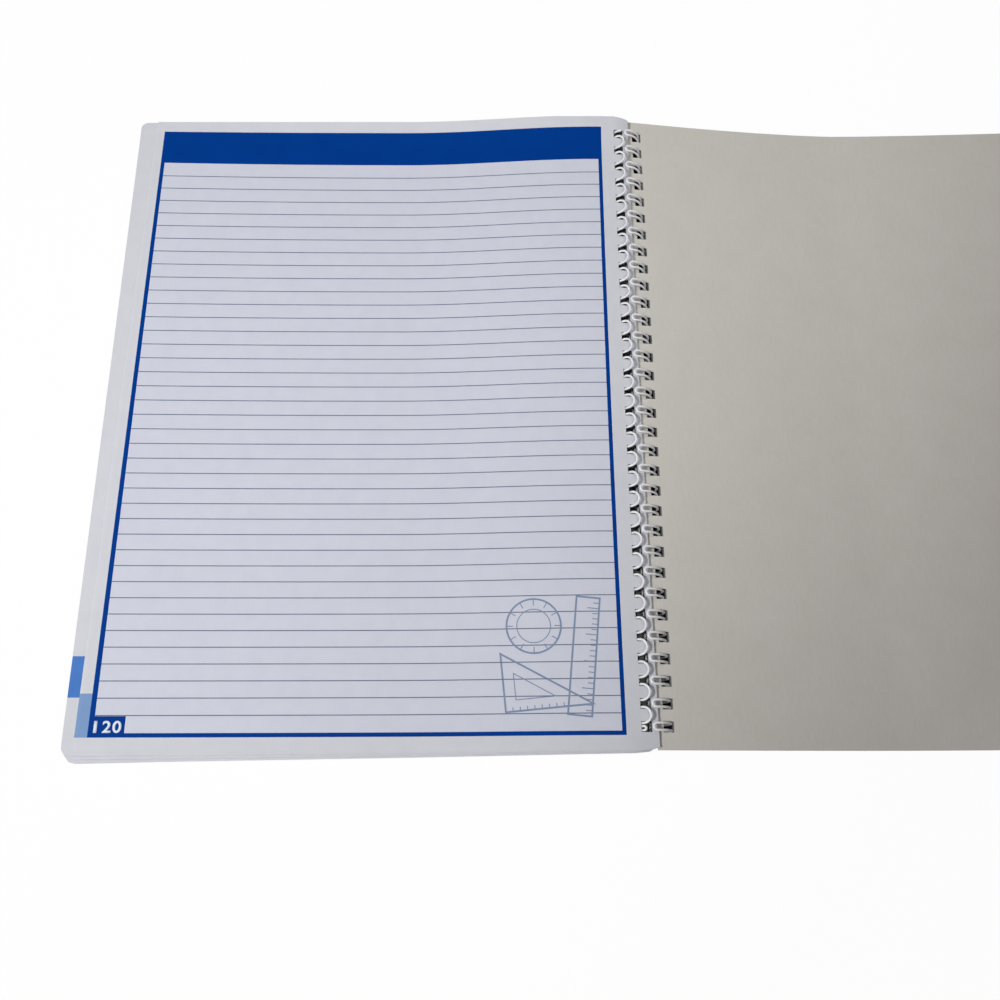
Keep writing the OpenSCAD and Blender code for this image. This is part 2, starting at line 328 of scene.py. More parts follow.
# lines along a sheet: some for its round corners, then ever closer together towards the spine, up to the holes
grid = {"cornerDepth": 3.2, "cornerLines": 6, "closing": 1.5, "fromHoles": 0.6, "apart": 0.2}


def evenColumns(width, count, extra=()):
    start, corners = -width + grid["cornerDepth"], grid["cornerLines"]
    length = -start - (holeToEdge + form["holeSize"] / 2 + grid["fromHoles"])
    near = [-width + grid["cornerDepth"] * (1 - math.cos(math.pi / 2 * i / corners)) for i in range(corners)]
    rest = [start + length * (1 - (1 - i / count) ** grid["closing"]) for i in range(count + 1)]
    kept = [x for x in near + rest if all(abs(x - e) > grid["apart"] for e in extra)]
    return sorted([*kept, *extra])


covers = {"columns": 70}


# x is 0 at the spine edge, and the cover runs to the right. It stays straight, so that its holes clear the wire
# when it swings.
def backPlace(x, y, drop):
    out = form["backSpineX"] - x
    return toFrame(out, y, backZ(out) - drop, bow=0.0)


frontEdge = form["coverPull"] + ringLeft(lieAt(-form["ringRadius"]) + form["card"] / 2) + holeToEdge


def frontPlace(x, y, drop):
    out = frontEdge + x
    return toFrame(out, y + form["fan"] * x / form["leafWidth"], lieAt(out) + form["card"] - drop)


coverColumns = evenColumns(form["leafWidth"], covers["columns"])
backCover = punchedSheet("backCoverCard", form["leafWidth"], form["card"], coverColumns, [], backPlace,
                         form["cornerRadius"])
frontCover = punchedSheet("frontCoverCard", form["leafWidth"], form["card"], coverColumns, [], frontPlace,
                          form["cornerRadius"])
for cover in (backCover, frontCover):
    for material in (card, cardCut, holeWallPaintedShade):
        cover.data.materials.append(material)
placePiece(backCover, "back_cover", "back_cover")
placePiece(frontCover, "front_cover", "front_cover")
print("stage: covers made")


# A tree with named inputs. It returns the tree, its input node and output node, and each input's identifier.
def newTree(name, inputs):
    tree = bpy.data.node_groups.new(name, "GeometryNodeTree")
    tree.interface.new_socket(name="Geometry", in_out="OUTPUT", socket_type="NodeSocketGeometry")
    tree.interface.new_socket(name="Geometry", in_out="INPUT", socket_type="NodeSocketGeometry")
    known = {}
    for label, (kind, value) in inputs.items():
        socket = tree.interface.new_socket(name=label, in_out="INPUT", socket_type="NodeSocket" + kind)
        if value is not None:
            socket.default_value = value
        known[label] = socket.identifier
    return tree, addNode(tree, "NodeGroupInput").outputs, addNode(tree, "NodeGroupOutput"), known


def growPiece(name, seedObject, tree, known, values):  # runs the tree and keeps its result as a plain mesh
    modifier = seedObject.modifiers.new("grow", "NODES")
    modifier.node_group = tree
    for label, value in values.items():
        modifier[known[label]] = value
    bpy.context.view_layer.update()
    evaluated = seedObject.evaluated_get(bpy.context.evaluated_depsgraph_get())
    mesh = bpy.data.meshes.new_from_object(evaluated)
    seedObject.modifiers.remove(modifier)
    bpy.data.objects.remove(seedObject)
    mesh.name = name
    return addObject(name, mesh)


# printed leaves: x is counted from the spine edge of the last leaf, y from its near edge, as on the flat sheet.
page = {
    "frameLeft": -212.0, "frameRight": -12.3, "frameTop": 274.2, "frameBottom": 5.4, "frameLine": 1.6,
    "bandBottom": 257.6, "boxRight": -199.5, "boxTop": 13.2, "tabBottom": 5.4, "tabTop": 21.6,
    "lowerTabBottom": 20.2, "lowerTabTop": 35.8, "lowerTabWidth": 8.6,
    "rules": 38, "firstRule": 13.45, "rulePitch": 6.413, "ruleWidth": 0.38, "inkThickness": 0.02,
    "inkStep": 2.5, "inkMitre": 0.35, "ruleOverlap": 0.05, "columns": 60, "lowerColumns": 40,
    "number": "120", "numberHeight": 4.5, "numberStretch": 1.12, "numberSpacing": 1.12, "numberWeight": 0.024,
    "numberSteps": 6, "numberShift": 0.2,
}

# the stack of inner leaves
stack = {"leaves": 60, "narrowLeaves": 4, "sheet": 0.1, "columns": 26, "unevenness": 0.2, "seed": 11,
         "farFlare": 0.6, "lastFarFlare": 0.2, "hair": 0.004}


def shareOf(i):  # the share of the stack at which leaf i's upper face lies
    return (i + 1) / stack["leaves"]


def bowNode(tree, x, y, height, given):  # x with the spine's bow taken off, as in bowAt
    across = mathNode(tree, "DIVIDE", mathNode(tree, "MULTIPLY", y, 2.0), height)
    bent = mathNode(tree, "SUBTRACT", 1.0, mathNode(tree, "MULTIPLY", across, across))
    away = mathNode(tree, "DIVIDE", mathNode(tree, "ABSOLUTE", x), given["Bow Reach"])
    fade = mathNode(tree, "MAXIMUM", mathNode(tree, "SUBTRACT", 1.0, away), 0.0)
    bow = mathNode(tree, "MULTIPLY", mathNode(tree, "MULTIPLY", bent, given["Bow"]), fade)
    return mathNode(tree, "SUBTRACT", x, bow)


# how the leaves lie, for the tree: lengths in metres and two shares
lie = {label: form[name] * mm for label, name in (
    ("Width", "leafWidth"), ("Height", "leafHeight"), ("Flare From", "flareFrom"), ("Stack", "stack"),
    ("Fore Rise", "foreRise"), ("Lift", "lift"), ("Dip", "dip"), ("Dip End", "dipEnd"), ("Ramp Far", "rampFar"),
    ("Ramp Near", "rampNear"), ("Bow", "bow"), ("Bow Reach", "bowReach"), ("Curl", "curl"),
    ("Curl Depth", "curlDepth"), ("Curl From", "curlFrom"), ("Curl Width", "curlWidth"), ("Curl End", "curlEnd"),
    ("Curl Fade", "curlFade"), ("Near Depth", "nearDepth"))}
lie["Base"] = (form["card"] + form["leafGap"]) * mm
lie["Longer"], lie["Curl Share"] = form["longer"], form["curlShare"]
tree, given, out, known = newTree("leavesOnTheirStack", {
    "Leaf": ("Object", None), "Far Flare": ("Float", stack["farFlare"]), "Off Square": ("Float", 0.0),
    **{label: ("Float", value) for label, value in lie.items()},
    "Centre": ("Vector", None), "Paper": ("Material", None), "Edge": ("Material", None),
    "Hole Edge": ("Material", None)})
leafMesh = addNode(tree, "GeometryNodeObjectInfo", inputs={"Object": given["Leaf"]}).outputs["Geometry"]
spreadOut = addNode(tree, "GeometryNodeInstanceOnPoints", inputs={"Points": given["Geometry"], "Instance": leafMesh})
whole = addNode(tree, "GeometryNodeRealizeInstances", inputs={0: spreadOut})
stored = {label: addNode(tree, "GeometryNodeInputNamedAttribute", {"data_type": "FLOAT"},
                         {"Name": label}).outputs["Attribute"]
          for label in ("share", "edge", "skew", "flare", "widen", "holeRim")}
flat = addNode(tree, "ShaderNodeSeparateXYZ", inputs={0: addNode(tree, "GeometryNodeInputPosition")}).outputs
# the fore-edge's flare, as in cutWider, and the print's lack of square
leftward = mathNode(tree, "MULTIPLY", flat[0], -1.0)
outer = shareNode(tree, leftward, given["Flare From"], given["Width"], stored["flare"])
nearness = mathNode(tree, "SUBTRACT", 0.5, mathNode(tree, "DIVIDE", flat[1], given["Height"]))
farness = mathNode(tree, "SUBTRACT", 1.0, nearness)
cut = mathNode(tree, "ADD", nearness, mathNode(tree, "MULTIPLY", farness, given["Far Flare"]))
across = shareNode(tree, leftward, -page["frameRight"] * mm, -page["frameLeft"] * mm)
askew = mathNode(tree, "MULTIPLY", mathNode(tree, "MULTIPLY", farness, across), given["Off Square"])
x = mathNode(tree, "ADD", mathNode(tree, "SUBTRACT", flat[0], mathNode(tree, "MULTIPLY", outer, cut)),
             mathNode(tree, "ADD", stored["edge"], mathNode(tree, "MULTIPLY", stored["holeRim"], stored["widen"])))
x = mathNode(tree, "ADD", x, askew)
# the way up to the rings and the dip behind it, as in lieAt
climb = shareNode(tree, x, mathNode(tree, "MULTIPLY", given["Ramp Far"], -1.0),
                  mathNode(tree, "MULTIPLY", given["Ramp Near"], -1.0), math.pi)
rise = mathNode(tree, "MULTIPLY", mathNode(tree, "SUBTRACT", 1.0, mathNode(tree, "COSINE", climb)),
                mathNode(tree, "MULTIPLY", given["Lift"], 0.5))
past = mathNode(tree, "DIVIDE", mathNode(tree, "MAXIMUM", mathNode(tree, "ADD", x, given["Ramp Near"]), 0.0),
                mathNode(tree, "ADD", given["Ramp Near"], given["Dip End"]))
fall = mathNode(tree, "MULTIPLY", mathNode(tree, "MULTIPLY", past, past), given["Dip"])
# the stack's height, as in stackAt
outerHalf = mathNode(tree, "DIVIDE", mathNode(tree, "MULTIPLY", x, -1.0), given["Width"])
outerHalf = mathNode(tree, "MAXIMUM", mathNode(tree, "SUBTRACT", outerHalf, 0.5), 0.0)
fuller = mathNode(tree, "MULTIPLY", mathNode(tree, "MULTIPLY", outerHalf, outerHalf),
                  mathNode(tree, "MULTIPLY", given["Fore Rise"], 4.0))
height = mathNode(tree, "MULTIPLY", stored["share"], mathNode(tree, "ADD", given["Stack"], fuller))
# the far edge's curl, as in curlAt
farEnd = mathNode(tree, "MULTIPLY", given["Height"], 0.5)
late = shareNode(tree, flat[1], mathNode(tree, "SUBTRACT", farEnd, given["Curl Depth"]), farEnd)
curlStart = mathNode(tree, "MULTIPLY", given["Curl From"], -1.0)
inward = shareNode(tree, x, curlStart, mathNode(tree, "ADD", curlStart, given["Curl Width"]), math.pi / 2)
fade = shareNode(tree, mathNode(tree, "SUBTRACT", given["Curl End"], x), 0.0, given["Curl Fade"], math.pi / 2)
inward = mathNode(tree, "MULTIPLY", mathNode(tree, "SINE", inward), mathNode(tree, "SINE", fade))
upper = mathNode(tree, "POWER", shareNode(tree, stored["share"], given["Curl Share"], 1.0), 2.0)
curl = mathNode(tree, "MULTIPLY", mathNode(tree, "MULTIPLY", mathNode(tree, "POWER", late, 3.0), inward),
                mathNode(tree, "MULTIPLY", upper, given["Curl"]))
z = mathNode(tree, "ADD", mathNode(tree, "ADD", mathNode(tree, "SUBTRACT", rise, fall), curl),
             mathNode(tree, "ADD", given["Base"], mathNode(tree, "ADD", height, flat[2])))
# each leaf is turned a little, and its near end reaches further, as in printedPlace
turned = mathNode(tree, "DIVIDE", mathNode(tree, "MULTIPLY", flat[0], stored["skew"]), given["Width"])
nearEnd = shareNode(tree, mathNode(tree, "MULTIPLY", flat[1], -1.0),
                    mathNode(tree, "SUBTRACT", farEnd, given["Near Depth"]), farEnd)
longer = mathNode(tree, "MULTIPLY", mathNode(tree, "MULTIPLY", mathNode(tree, "ADD", stored["skew"], turned), nearEnd),
                  given["Longer"])
y = mathNode(tree, "SUBTRACT", mathNode(tree, "ADD", flat[1], turned), longer)
spot = addNode(tree, "ShaderNodeCombineXYZ", inputs={
    0: bowNode(tree, x, y, given["Height"], given), 1: y, 2: z})
moved = addNode(tree, "GeometryNodeSetPosition", inputs={
    "Geometry": whole, "Position": addNode(tree, "ShaderNodeVectorMath", {"operation": "ADD"},
                                           {0: spot, 1: given["Centre"]})})
dressed = addNode(tree, "GeometryNodeSetMaterial", inputs={"Geometry": moved, "Material": given["Paper"]})
for mark, label in (("cut", "Edge"), ("punched", "Hole Edge")):
    marked = addNode(tree, "GeometryNodeInputNamedAttribute", {"data_type": "BOOLEAN"}, {"Name": mark})
    dressed = addNode(tree, "GeometryNodeSetMaterial", inputs={
        "Geometry": dressed, "Selection": marked.outputs["Attribute"], "Material": given[label]})
tree.links.new(dressed.outputs[0], out.inputs[0])


easedEnds = (form["easedNear"], form["easedFar"])


def flatSheet(name, width, radius):  # a blank leaf as it comes from the mill, with its edges marked
    leaf = punchedSheet(name, width, stack["sheet"], evenColumns(width, stack["columns"]), [],
                        lambda x, y, drop: Vector((x * mm, y * mm, -drop * mm)), radius, eased=easedEnds)
    rim = leaf.data.attributes.new("holeRim", "FLOAT", "POINT")
    rim.data.foreach_set("value", [abs(v.co.x / mm - holeRim) < samePlace for v in leaf.data.vertices])
    for mark, slot in (("cut", 1), ("punched", 2)):
        faces = leaf.data.attributes.new(mark, "BOOLEAN", "FACE")
        faces.data.foreach_set("value", [face.material_index == slot for face in leaf.data.polygons])
    return leaf


flatLeaf = flatSheet("flatLeaf", form["leafWidth"], form["cornerRadius"])
narrowLeaf = flatSheet("narrowLeaf", form["leafWidth"] - form["indexStep"] - form["droopWidth"],
                       form["lastCorner"])
chance = random.Random(stack["seed"])
uneven = [chance.random() * stack["unevenness"] for _ in range(stack["leaves"])]


def leafSkew(i):  # no two leaves lie quite alike, but none sticks out of the book
    skew = skewAt(shareOf(i) - stack["hair"])
    return skew - uneven[i] if skew else uneven[i]


def stackOf(name, numbers, leaf, farShare, offSquare):
    seeds = bpy.data.meshes.new(name + "Seeds")
    seeds.from_pydata([(0, 0, 0)] * len(numbers), [], [])
    values = {"share": [shareOf(i) for i in numbers], "edge": [spineEdge(shareOf(i)) * mm for i in numbers],
              "skew": [leafSkew(i) * mm for i in numbers], "flare": [flareAt(shareOf(i)) * mm for i in numbers],
              "widen": [widenAt(shareOf(i)) * mm for i in numbers]}
    for label, numbersGiven in values.items():
        seeds.attributes.new(label, "FLOAT", "POINT").data.foreach_set("value", numbersGiven)
    piece = growPiece(name, addObject(name + "Seeds", seeds), tree, known, {
        **lie, "Leaf": leaf, "Far Flare": farShare, "Off Square": offSquare * mm,
        "Centre": (form["ringX"] * mm, form["ringY"] * mm, 0.0), "Paper": paper, "Edge": paperCut,
        "Hole Edge": holeWallPaintedShade})
    smoothFaces(piece.data)
    return placePiece(piece, "book", "page_block")


firstNarrow = stack["leaves"] - stack["narrowLeaves"]
innerLeaves = stackOf("innerLeaves", range(1, firstNarrow - 1), flatLeaf, stack["farFlare"], 0)
stackOf("lastSectionLeaves", range(firstNarrow, stack["leaves"] - 1), narrowLeaf, stack["lastFarFlare"],
        form["offSquare"])
for spare in (flatLeaf, narrowLeaf):
    bpy.data.objects.remove(spare)
print("stage: leaves stacked", len(innerLeaves.data.polygons))

pageSlots = [paper, paperCut, holeWallPaintedShade, paperTint, inkBand, inkPale, inkTab]
paperSlot, tintSlot, bandSlot, paleSlot, tabSlot = 0, 3, 4, 5, 6


def printedPlace(share, skew, width, farShare, offSquare=0.0, droop=0.0):
    edge, flare, half = spineEdge(share), flareAt(share), form["leafHeight"] / 2

    def place(x, y, drop):
        across = clamp((page["frameRight"] - x) / (page["frameRight"] - page["frameLeft"]))
        out = edge + cutWider(x, y, width, flare, farShare) + offSquare * across * (0.5 + y / form["leafHeight"])
        out += widenAt(share) if abs(x - holeRim) < samePlace else 0
        nearEnd = clamp((form["nearDepth"] - half - y) / form["nearDepth"])
        turned = skew * x / form["leafWidth"]
        z = leafZ(out, share) + curlAt(out, y, share) - droop * clamp(1 - (x + width) / form["droopWidth"]) ** 2
        return toFrame(out, y + turned - form["longer"] * (skew + turned) * nearEnd, min(form["ceiling"], z) - drop)
    return place


def lastField(x, y):  # which ink covers the last leaf at this spot of the flat sheet
    y += form["leafHeight"] / 2
    if page["frameLeft"] < x < page["frameRight"] and page["frameBottom"] < y < page["frameTop"]:
        line = page["frameLine"]
        inside = (page["frameLeft"] + line < x < page["frameRight"] - line
                  and page["frameBottom"] + line < y < page["bandBottom"])
        if not inside or (x < page["boxRight"] and y < page["boxTop"]):
            return bandSlot
        return tintSlot
    if x < page["frameLeft"] and page["tabBottom"] < y < page["tabTop"]:
        return paleSlot
    return paperSlot


def lowerField(x, y):
    y += form["leafHeight"] / 2
    onTab = x < -form["leafWidth"] + page["lowerTabWidth"] and page["lowerTabBottom"] < y < page["lowerTabTop"]
    return tabSlot if onTab else paperSlot


halfHeight = form["leafHeight"] / 2
lastWidth = form["leafWidth"] - form["indexStep"]
lastColumns = evenColumns(lastWidth, page["columns"], (
    page["frameLeft"], page["frameLeft"] + page["frameLine"], page["boxRight"],
    page["frameRight"] - page["frameLine"], page["frameRight"]))
lastRows = [y - halfHeight for y in (
    page["frameBottom"], page["frameBottom"] + page["frameLine"], page["boxTop"], page["tabTop"],
    page["bandBottom"], page["frameTop"])]
lastPlace = printedPlace(1, 0, lastWidth, stack["lastFarFlare"], form["offSquare"], form["droop"])
lastLeaf = punchedSheet("lastLeafPrinted", lastWidth, stack["sheet"], lastColumns, lastRows, lastPlace,
                        form["lastCorner"], lastField, easedEnds)
tabNumber = firstNarrow - 1
lowerPlace = printedPlace(shareOf(tabNumber), leafSkew(tabNumber), form["leafWidth"], stack["farFlare"])
tabLeaf = punchedSheet("tabLeafPrinted", form["leafWidth"], stack["sheet"],
                       evenColumns(form["leafWidth"], page["lowerColumns"],
                                   (-form["leafWidth"] + page["lowerTabWidth"],)),
                       [page["lowerTabBottom"] - halfHeight, page["lowerTabTop"] - halfHeight], lowerPlace,
                       form["cornerRadius"], lowerField, easedEnds)
firstLeaf = punchedSheet("firstLeaf", form["leafWidth"], stack["sheet"],
                         evenColumns(form["leafWidth"], stack["columns"]), [],
                         printedPlace(shareOf(0), leafSkew(0), form["leafWidth"], stack["farFlare"]),
                         form["cornerRadius"], eased=easedEnds)
for leaf in (lastLeaf, tabLeaf, firstLeaf):
    for material in pageSlots:
        leaf.data.materials.append(material)
    placePiece(leaf, "book", "page_block")
print("stage: printed leaves made")


# A closed slab of ink along each flat outline, which follows the leaf's curve and reaches a little into it. An
# outline's points run up one side of a line and down the other.
def layInk(name, outlines):
    bm = bmesh.new()
    below = page["inkThickness"] / 2
    for points in outlines:
        top = [bm.verts.new(lastPlace(x, y - halfHeight, -below)) for x, y in points]
        bottom = [bm.verts.new(lastPlace(x, y - halfHeight, below)) for x, y in points]
        count = len(points)
        for k in range(count // 2 - 1):
            m = count - 1 - k
            bm.faces.new([top[k], top[k + 1], top[m - 1], top[m]])
            bm.faces.new([bottom[m], bottom[m - 1], bottom[k + 1], bottom[k]])
        for k in range(count):
            bm.faces.new([top[(k + 1) % count], top[k], bottom[k], bottom[(k + 1) % count]])
    bmesh.ops.recalc_face_normals(bm, faces=bm.faces)
    mesh = bpy.data.meshes.new(name)
    bm.to_mesh(mesh)
    bm.free()
    return addObject(name, mesh)


def ribbon(points, width, closed=False):  # a line of even width, cut short so that it can bend with the leaf
    dense = []
    loop = points + points[:1] if closed else points
    for (x0, y0), (x1, y1) in zip(loop, loop[1:]):
        steps = max(1, int(math.hypot(x1 - x0, y1 - y0) / page["inkStep"]))
        dense += [(x0 + (x1 - x0) * k / steps, y0 + (y1 - y0) * k / steps) for k in range(steps)]
    dense.append(loop[-1])
    left, right = [], []
    for k, (x, y) in enumerate(dense):
        before = dense[k - 1] if k else (dense[-2] if closed else dense[0])
        after = dense[k + 1] if k < len(dense) - 1 else (dense[1] if closed else dense[-1])
        a = Vector((x - before[0], y - before[1]))
        b = Vector((after[0] - x, after[1] - y))
        a = a.normalized() if a.length > 1e-9 else b.normalized()
        b = b.normalized() if b.length > 1e-9 else a
        way = (a + b).normalized()
        wide = width / 2 / max(page["inkMitre"], way.dot(a))
        left.append((x - way.y * wide, y + way.x * wide))
        right.append((x + way.y * wide, y - way.x * wide))
    return left + right[::-1]


# the ruled lines, from frame line to frame line
fromFrame = page["frameLine"] - page["ruleOverlap"]
ruleEnds = page["frameLeft"] + fromFrame, page["frameRight"] - fromFrame
ruleHeights = [page["firstRule"] + k * page["rulePitch"] for k in range(page["rules"])]
ruledLines = layInk("ruledLines", [ribbon([(x, y) for x in ruleEnds], page["ruleWidth"]) for y in ruleHeights])
ruledLines.data.materials.append(inkRule)
placePiece(ruledLines, "book", "page_block")

# the page's plain number, knocked out of the box in the corner
words = bpy.data.curves.new("pageNumberText", "FONT")
words.body, words.offset = page["number"], page["numberWeight"]
words.resolution_u, words.space_character = page["numberSteps"], page["numberSpacing"]
textObject = addObject("pageNumberText", words)
bpy.context.view_layer.update()
digits = bpy.data.meshes.new_from_object(textObject.evaluated_get(bpy.context.evaluated_depsgraph_get()))
bpy.data.objects.remove(textObject)
bm = bmesh.new()
bm.from_mesh(digits)
bmesh.ops.remove_doubles(bm, verts=bm.verts, dist=1e-5)
bmesh.ops.dissolve_limit(bm, angle_limit=0.01, verts=bm.verts, edges=bm.edges)
bmesh.ops.triangulate(bm, faces=bm.faces)
xs, ys = [v.co.x for v in bm.verts], [v.co.y for v in bm.verts]
scale = page["numberHeight"] / (max(ys) - min(ys))
middle = ((page["frameLeft"] + page["boxRight"]) / 2 + page["numberShift"],
          (page["frameBottom"] + page["boxTop"]) / 2)
solid = bmesh.ops.extrude_face_region(bm, geom=list(bm.faces))
upper = {v for v in solid["geom"] if isinstance(v, bmesh.types.BMVert)}
for v in bm.verts:
    x = middle[0] + (v.co.x - (max(xs) + min(xs)) / 2) * scale * page["numberStretch"]
    y = middle[1] + (v.co.y - (max(ys) + min(ys)) / 2) * scale
    v.co = lastPlace(x, y - halfHeight, (-1 if v in upper else 1) * page["inkThickness"] / 2)
bmesh.ops.recalc_face_normals(bm, faces=bm.faces)
bm.to_mesh(digits)
bm.free()
digits.materials.clear()
digits.materials.append(inkWhite)
placePiece(addObject("pageNumber", digits), "book", "page_block")

# A plain line drawing of drawing tools in the lower right corner: a ruler, a set square and a ringed circle.
motif = {"line": 0.72, "fineLine": 0.38, "rulerAt": (-27.0, 35.0), "rulerSize": (9.0, 45.0), "rulerTurn": -6.0,
         "rulerMarks": 22, "squareAt": (-57.0, 14.0), "squareSize": (33.0, 22.0), "squareTurn": 5.0,
         "squareFrame": 4.2, "circleAt": (-46.0, 46.5), "circleRadius": 10.5, "innerRing": 0.62, "spokes": 12,
         "spokeFrom": 0.76, "spokeTo": 0.98, "longMark": 0.5, "shortMark": 0.27, "longEvery": 5,
         "footParts": 12, "footMarks": 8, "footMark": 1.6}


def turnedAbout(points, tool):  # from the tool's own origin to its place on the page
    at, turn = motif[tool + "At"], math.radians(motif[tool + "Turn"])
    c, s = math.cos(turn), math.sin(turn)
    return [(at[0] + x * c - y * s, at[1] + x * s + y * c) for x, y in points]


def onCircle(share, degrees):
    a = math.radians(degrees)
    r = share * motif["circleRadius"]
    return motif["circleAt"][0] + r * math.cos(a), motif["circleAt"][1] + r * math.sin(a)


wide, tall = motif["rulerSize"]
foot, rise, inset = *motif["squareSize"], motif["squareFrame"]
shrink = 1 - inset * (1 / foot + 1 / rise + math.hypot(1 / foot, 1 / rise))
rulerCorners = [(-wide / 2, -tall / 2), (wide / 2, -tall / 2), (wide / 2, tall / 2), (-wide / 2, tall / 2)]
rulerOutline = turnedAbout(rulerCorners, "ruler")
squareOutline = turnedAbout([(0, 0), (foot, 0), (0, rise)], "square")
squareHole = turnedAbout([(inset, inset), (inset + foot * shrink, inset), (inset, inset + rise * shrink)], "square")
strokes = [ribbon(rulerOutline, motif["line"], True), ribbon(squareOutline, motif["line"], True),
           ribbon(squareHole, motif["fineLine"], True),
           ribbon([onCircle(1, a) for a in range(0, 360, 10)], motif["line"], True),
           ribbon([onCircle(motif["innerRing"], a) for a in range(0, 360, 12)], motif["fineLine"], True)]
for k in range(1, motif["rulerMarks"]):  # the ruler's marks, some of them longer
    y = -tall / 2 + tall * k / motif["rulerMarks"]
    long = wide * motif["shortMark" if k % motif["longEvery"] else "longMark"]
    strokes.append(ribbon(turnedAbout([(wide / 2 - long, y), (wide / 2, y)], "ruler"), motif["fineLine"]))
for k in range(1, motif["footMarks"] + 1):  # marks along the set square's foot
    x = foot * k / motif["footParts"]
    strokes.append(ribbon(turnedAbout([(x, 0), (x, motif["footMark"])], "square"), motif["fineLine"]))
for k in range(motif["spokes"]):
    a = 360 * k / motif["spokes"]
    strokes.append(ribbon([onCircle(motif["spokeFrom"], a), onCircle(motif["spokeTo"], a)], motif["fineLine"]))
motifLines = layInk("cornerMotifLines", strokes)
motifLines.data.materials.append(inkMotif)
placePiece(motifLines, "book", "page_block")
print("stage: print laid on the last leaf")

# Real twin-loop wire is bent flat into a comb of long fingers and then rolled round. The tree does the same: one
# flat finger is repeated, the ends are joined on, and the comb is rolled and given its round section.
wire = {"thickness": 0.95, "pairGap": 2.6, "rootAngle": 126.6, "tipAngle": 84.0, "endReach": 16.0, "hook": 0.28,
        "twist": 6.0, "uneven": 1.4, "unevenLength": 21.0, "sides": 10, "runSteps": 34, "tipSteps": 10,
        "rootSteps": 14, "hookSteps": 8, "endSteps": 5, "smoothTo": 60}
tipRadius = wire["pairGap"] / 2
perDegree = form["ringRadius"] * math.pi / 180
rootS, tipS = wire["rootAngle"] * perDegree, (360 + wire["tipAngle"]) * perDegree


def flatRun(s0, s1, y, steps):
    return [(s0 + (s1 - s0) * k / steps, y) for k in range(steps + 1)]


def flatTurn(s, y0, y1, way, steps):
    r, angles = abs(y1 - y0) / 2, [math.pi * k / steps for k in range(steps + 1)]
    return [(s + way * r * math.sin(a), (y0 + y1) / 2 + (y0 - y1) / 2 * math.cos(a)) for a in angles]


def finger(y):
    return (flatRun(rootS, tipS, y + tipRadius, wire["runSteps"])
            + flatTurn(tipS, y + tipRadius, y - tipRadius, 1, wire["tipSteps"])
            + flatRun(tipS, rootS, y - tipRadius, wire["runSteps"]))


farY, nearY = holeY(form["holes"] - 1), holeY(0)
nextY = farY - form["holePitch"]
oneFinger = finger(farY) + flatTurn(rootS, farY - tipRadius, nextY + tipRadius, -1, wire["rootSteps"])
endY, endS = nearY - tipRadius + 2 * wire["hook"] * wire["pairGap"], wire["endReach"] * perDegree
lastFinger = finger(nearY) + flatTurn(rootS, nearY - tipRadius, endY, -1, wire["hookSteps"])
lastFinger += flatRun(rootS, rootS + endS, endY, wire["endSteps"])
firstEnd = flatRun(rootS - endS, rootS, farY + tipRadius, wire["endSteps"])
comb = bmesh.new()
repeats = comb.verts.layers.int.new("repeats")
for points, again in ((oneFinger, 1), (lastFinger, 0), (firstEnd, 0)):
    last = None
    for s, y in points:
        if last and (last.co - Vector((s * mm, y * mm, 0))).length < 1e-6:
            continue
        v = comb.verts.new((s * mm, y * mm, 0))
        v[repeats] = again
        if last:
            comb.edges.new((last, v))
        last = v
combMesh = bpy.data.meshes.new("flatComb")
comb.to_mesh(combMesh)
comb.free()

# how the wire is rolled, for the tree: lengths in metres and angles in radians
roll = {"Pitch": form["holePitch"] * mm, "Ring Radius": form["ringRadius"] * mm, "Thickness": wire["thickness"] * mm,
        "Twist": math.radians(wire["twist"]), "Length": form["leafHeight"] * mm,
        "Uneven": 2 * math.radians(wire["uneven"]), "Uneven Length": wire["unevenLength"] * mm,
        "Bow": form["bow"] * mm, "Bow Reach": form["bowReach"] * mm}
rollTree, given, out, rollKnown = newTree("rolledWireComb", {
    "Fingers": ("Int", form["holes"] - 1), "Sides": ("Int", wire["sides"]),
    **{label: ("Float", value) for label, value in roll.items()},
    "Centre": ("Vector", None), "Coat": ("Material", None)})
again = addNode(rollTree, "GeometryNodeInputNamedAttribute", {"data_type": "INT"}, {"Name": "repeats"})
parts = addNode(rollTree, "GeometryNodeSeparateGeometry", {"domain": "POINT"}, {
    "Geometry": given["Geometry"], "Selection": again.outputs["Attribute"]}).outputs
step = addNode(rollTree, "ShaderNodeCombineXYZ", inputs={1: mathNode(rollTree, "MULTIPLY", given["Pitch"], -1.0)})
places = addNode(rollTree, "GeometryNodeMeshLine", inputs={"Count": given["Fingers"], "Offset": step})
fingers = addNode(rollTree, "GeometryNodeInstanceOnPoints", inputs={
    "Points": places, "Instance": parts[0]})
joined = addNode(rollTree, "GeometryNodeJoinGeometry", inputs={0: fingers})
rollTree.links.new(parts[1], joined.inputs[0])
plain = addNode(rollTree, "GeometryNodeRealizeInstances", inputs={0: joined})
merged = addNode(rollTree, "GeometryNodeMergeByDistance", inputs={
    "Geometry": plain, "Distance": 0.01 * mm})
line = addNode(rollTree, "GeometryNodeMeshToCurve", inputs={"Mesh": merged})
flat = addNode(rollTree, "ShaderNodeSeparateXYZ", inputs={0: addNode(rollTree, "GeometryNodeInputPosition")}).outputs
